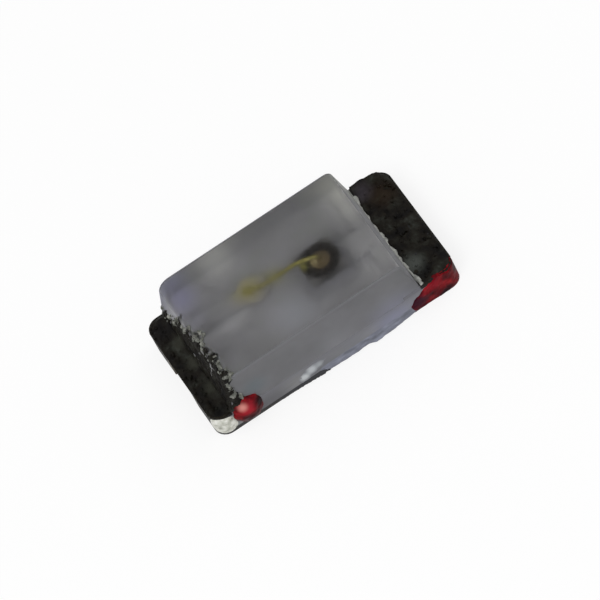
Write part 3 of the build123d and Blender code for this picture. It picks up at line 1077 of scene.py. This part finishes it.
def shakeUp(tree, geometry, lumpSize, amount):
    # Pushes points about by smooth noise; gives the moved geometry and the noise
    here = addNode(tree, "GeometryNodeInputPosition")
    pitch = addNode(tree, "ShaderNodeMath", {"operation": "DIVIDE", 0: 1.0}, {1: lumpSize})
    lumps = addNode(tree, "ShaderNodeTexNoise", {"Detail": 2.0},
                    {"Vector": here.outputs[0], "Scale": pitch.outputs[0]})
    centred = addNode(tree, "ShaderNodeVectorMath", {"operation": "SUBTRACT", 1: (0.5, 0.5, 0.5)},
                      {0: lumps.outputs["Color"]})
    push = addNode(tree, "ShaderNodeVectorMath", {"operation": "SCALE"},
                   {0: centred.outputs["Vector"], "Scale": amount})
    moved = addNode(tree, "GeometryNodeSetPosition", links={
        "Geometry": geometry, "Offset": push.outputs["Vector"]})
    return moved.outputs["Geometry"], lumps.outputs["Fac"]


def endTree(tree, geometry, material):
    dressed = addNode(tree, "GeometryNodeSetMaterial", links={"Geometry": geometry, "Material": material})
    addNode(tree, "NodeGroupOutput", links={"Geometry": dressed.outputs["Geometry"]})
    return tree


# Beads of flash and grit: lumps scattered along a line, each of its own size and shape
beadShape = {
    "least": (0.45, 0.35, 0.35),  # of the bead size
    "most": (1.3, 0.9, 0.9),
    "turn": 6.28,
    "subdivisions": 3,
    "roughness": 0.8,  # size of its lumps, of the bead size
}


def beadTree(s):
    tree, given = startTree("beadsAlongLine", {
        "Spacing": "Float", "Bead Size": "Float", "Spread": "Vector", "Roughness Size": "Float",
        "Seed": "Int", "Material": "Material"})
    curve = addNode(tree, "GeometryNodeMeshToCurve", links={"Mesh": given["Geometry"]})
    steps = addNode(tree, "GeometryNodeResampleCurve", {"mode": "LENGTH"},
                    {"Curve": curve.outputs["Curve"], "Length": given["Spacing"]})
    points = addNode(tree, "GeometryNodeCurveToPoints", {"mode": "EVALUATED"},
                     {"Curve": steps.outputs["Curve"]})
    ranges = (((-1, -1, -1), (1, 1, 1)), (s["least"], s["most"]), ((0, 0, 0), (s["turn"],) * 3))
    place, size, turn = [
        addNode(tree, "FunctionNodeRandomValue", {"data_type": "FLOAT_VECTOR", 0: least, 1: most},
                {"Seed": given["Seed"]}).outputs[0] for least, most in ranges]
    shift = addNode(tree, "ShaderNodeVectorMath", {"operation": "MULTIPLY"},
                    {0: place, 1: given["Spread"]})
    strewn = addNode(tree, "GeometryNodeSetPosition", links={
        "Geometry": points.outputs["Points"], "Offset": shift.outputs["Vector"]})
    bead = addNode(tree, "GeometryNodeMeshIcoSphere", {"Radius": 1.0, "Subdivisions": s["subdivisions"]})
    scaled = addNode(tree, "ShaderNodeVectorMath", {"operation": "SCALE"},
                     {0: size, "Scale": given["Bead Size"]})
    beads = addNode(tree, "GeometryNodeInstanceOnPoints", links={
        "Points": strewn.outputs["Geometry"], "Instance": bead.outputs["Mesh"],
        "Rotation": turn, "Scale": scaled.outputs["Vector"]})
    whole = addNode(tree, "GeometryNodeRealizeInstances", links={"Geometry": beads.outputs["Instances"]})
    knobbly = shakeUp(tree, whole.outputs["Geometry"], given["Roughness Size"], given["Bead Size"])[0]
    return endTree(tree, knobbly, given["Material"])


beadsAlongLine = beadTree(beadShape)


def scatterAlong(name, s, place, material):
    points = [tuple(place(u, v)[0] + place(u, v)[1] * s["lift"] * mm) for u, v in s["line"]]
    mesh = runTree(beadsAlongLine, {
        "Spacing": s["spacing"] * mm, "Bead Size": s["size"] * mm,
        "Spread": tuple(v * mm for v in s["spread"]),
        "Roughness Size": s["size"] * beadShape["roughness"] * mm,
        "Seed": s["seed"], "Material": material}, points)
    addPiece(name, mesh, material)


# Crumbs of flash among the flakes, from the far foot to the near corner
crumbLine = {"line": [(0.36, 0.04), (0.24, 0.12), (0.15, 0.18), (0.05, 0.22), (-0.05, 0.25), (-0.16, 0.26),
                      (-0.28, 0.26), (-0.38, 0.26)],
             "spacing": 0.055, "size": 0.012, "spread": (0.02, 0.02, 0.01), "lift": 0.001, "seed": 4}
scatterAlong("flashCrumbs", crumbLine, wireEnd, brokenFlashMaterial)

# Dark grit on both bare strips
gritLines = {
    "anodeGrit": {"line": [(-0.74, -0.37), (-0.75, -0.1), (-0.73, 0.1), (-0.75, 0.36)], "spacing": 0.012,
                  "size": 0.011, "spread": (0.045, 0.02, 0.002), "lift": 0.004, "seed": 12},
    "cathodeGrit": {"line": [(0.69, -0.36), (0.68, -0.1), (0.70, 0.1), (0.69, 0.37)], "spacing": 0.010,
                    "size": 0.011, "spread": (0.085, 0.02, 0.002), "lift": 0.004, "seed": 15}}
for gritName, gritLine in gritLines.items():
    scatterAlong(gritName, gritLine, landPlane, crustMaterial)
print("flash and grit made")


# Broken rim of thin flash along the foot of the chip end
footRim = {
    "line": [(0.568, 0.395), (0.562, 0.25), (0.560, 0.10), (0.560, -0.04), (0.566, -0.22), (0.580, -0.395)],
    "lift": 0.006,
    "thickness": 0.013,
    "step": 0.005,
    "wander": 0.018,
    "gap": 0.05,  # size of its bends and of its thin places
    "thin": (0.40, 0.45),  # where the noise is this low, this share of the thickness is left
    "thick": (0.62, 1.2),
    "sides": 8,
}


def rimTree(s):
    tree, given = startTree("rimAlongFoot", {
        "Thickness": "Float", "Step": "Float", "Wander": "Float", "Gap Length": "Float",
        "Material": "Material"})
    curve = addNode(tree, "GeometryNodeMeshToCurve", links={"Mesh": given["Geometry"]})
    smooth = addNode(tree, "GeometryNodeCurveSplineType", {"spline_type": "CATMULL_ROM"},
                     {"Curve": curve.outputs["Curve"]})
    steps = addNode(tree, "GeometryNodeResampleCurve", {"mode": "LENGTH"},
                    {"Curve": smooth.outputs["Curve"], "Length": given["Step"]})
    wandering, bends = shakeUp(tree, steps.outputs["Curve"], given["Gap Length"], given["Wander"])
    share = addNode(tree, "ShaderNodeMapRange", {
        "From Min": s["thin"][0], "From Max": s["thick"][0],
        "To Min": s["thin"][1], "To Max": s["thick"][1]}, {"Value": bends})
    ring = addNode(tree, "GeometryNodeCurvePrimitiveCircle", {"Resolution": s["sides"]},
                   {"Radius": given["Thickness"]})
    rim = addNode(tree, "GeometryNodeCurveToMesh", {"Fill Caps": True}, {
        "Curve": wandering, "Profile Curve": ring.outputs["Curve"], "Scale": share.outputs["Result"]})
    whole = addNode(tree, "GeometryNodeRealizeInstances", links={"Geometry": rim.outputs["Mesh"]})
    return endTree(tree, whole.outputs["Geometry"], given["Material"])


def makeFootRim(s, material):
    points = [(u * mm, v * mm, landTop + s["lift"] * mm) for u, v in s["line"]]
    mesh = runTree(rimTree(s), {
        "Thickness": s["thickness"] * mm, "Step": s["step"] * mm, "Wander": s["wander"] * mm,
        "Gap Length": s["gap"] * mm, "Material": material}, points)
    addPiece("footRim", mesh, material)


makeFootRim(footRim, makeFinish("thinFlash", {**flashFinish, "colors": thinFlashColors}))
print("rim made")
